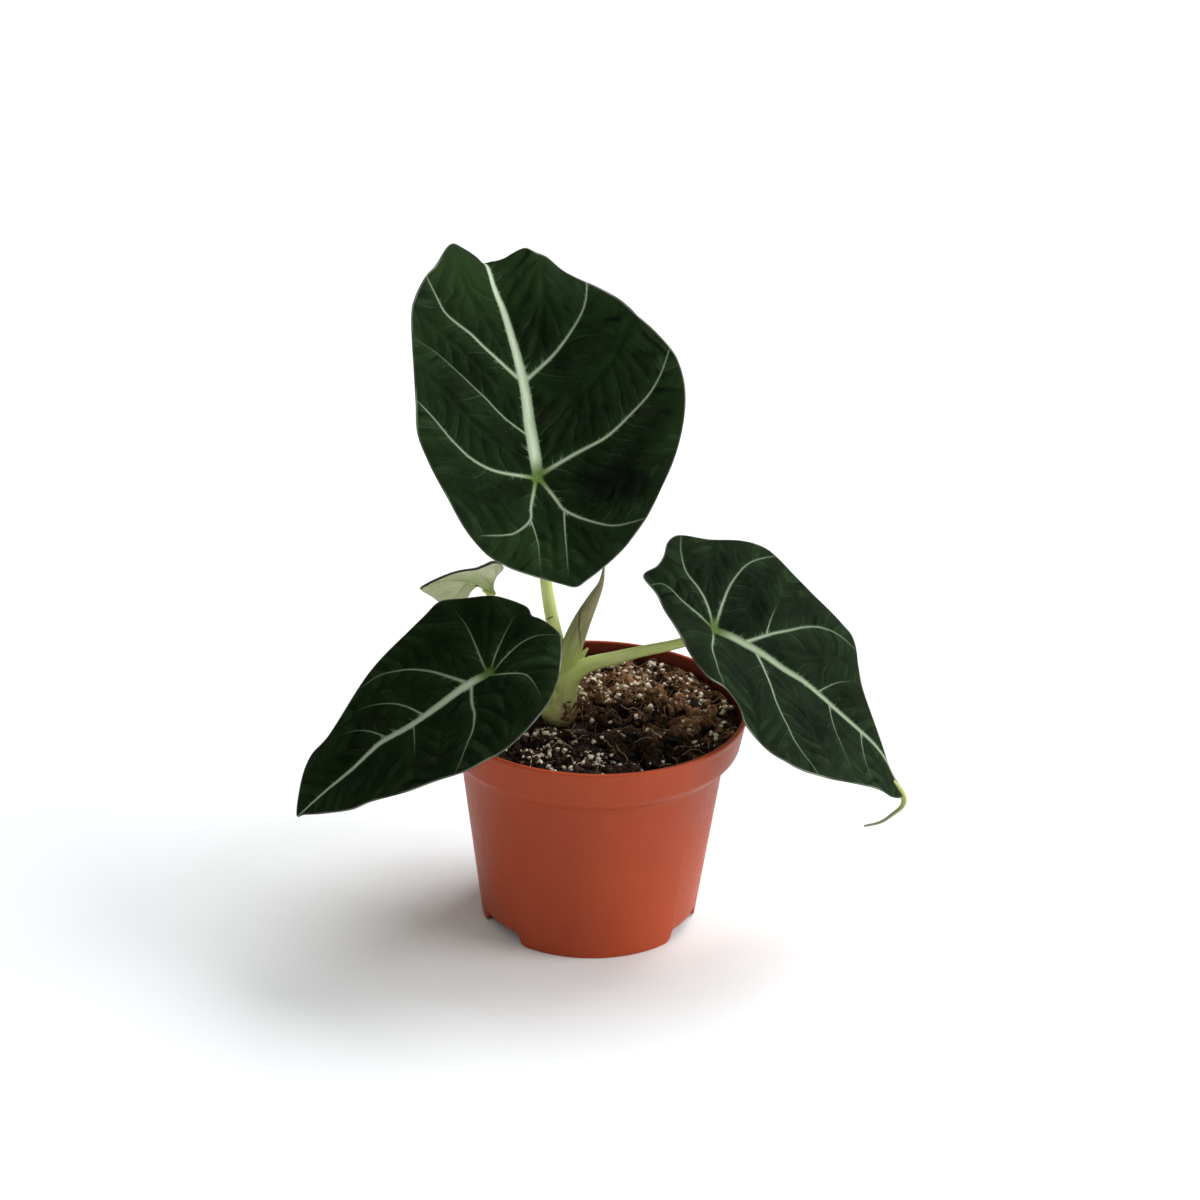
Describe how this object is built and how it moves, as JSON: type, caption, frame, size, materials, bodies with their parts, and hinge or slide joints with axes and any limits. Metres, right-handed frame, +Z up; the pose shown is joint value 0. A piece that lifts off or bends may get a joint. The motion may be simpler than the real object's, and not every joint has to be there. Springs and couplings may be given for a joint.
{
  "type": "potted velvet-leaved elephant ear plant",
  "caption": "Potted Alocasia plant: dark, pale-veined velvety shield-shaped leaves on green stalks, a rolled young leaf, and soil in a round tapered plastic pot.",
  "frame": {"origin": "middle of the whole plant's footprint box, on the surface that the pot stands on; the pot's axis is 5.6 mm to the -X side and 1.9 mm to the +Y side of it", "axes": "+Z up, along the pot's axis; -Y is the front, where the big upright leaf shows its upper side; +X is to the right seen from the front"},
  "size_m": [0.2352, 0.1462, 0.2588],
  "materials": {
    "pot_plastic": "satin",
    "soil": "matte",
    "rhizome": "satin",
    "young_leaf": "satin",
    "petiole": "satin",
    "leaf_blade": "matte"
  },
  "bodies": {
    "root": {"pot": "pot_plastic", "soil": "soil", "rhizome": "rhizome", "new_leaf": "young_leaf", "petiole_1": "petiole", "petiole_2": "petiole", "petiole_3": "petiole", "petiole_4": "petiole", "blade_1": "leaf_blade", "blade_2": "leaf_blade", "blade_3": "leaf_blade", "blade_4": "leaf_blade"}
  },
  "joints": []
}
